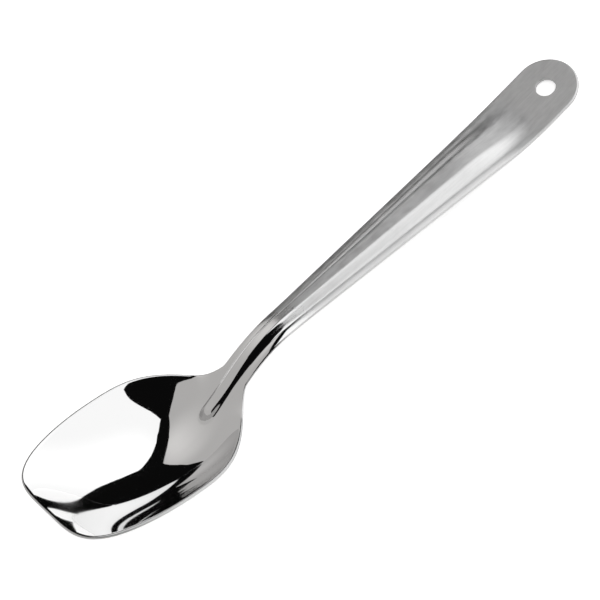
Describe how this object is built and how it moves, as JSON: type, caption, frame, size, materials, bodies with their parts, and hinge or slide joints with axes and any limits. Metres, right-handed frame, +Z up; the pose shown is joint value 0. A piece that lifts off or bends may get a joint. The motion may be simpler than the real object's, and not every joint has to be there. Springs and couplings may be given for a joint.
{
  "type": "serving spoon",
  "caption": "Pressed stainless serving spoon with a deep blunt-nosed bowl, cranked neck, ribbed satin handle and a flat round end with a hanging hole.",
  "frame": {"origin": "on the table under the middle of the spoon's length, with the spoon lying bowl up", "axes": "+X along the spoon from the nose to the hanging end, +Z up from the table"},
  "size_m": [0.214, 0.0484, 0.0277],
  "materials": {
    "polished_steel": "mirror polished stainless steel",
    "satin_steel": "satin stainless steel, grain along the handle"
  },
  "bodies": {
    "root": {"bowl": "polished_steel", "neck": "polished_steel", "handle": "satin_steel", "hanging_tab": "satin_steel"}
  },
  "joints": []
}
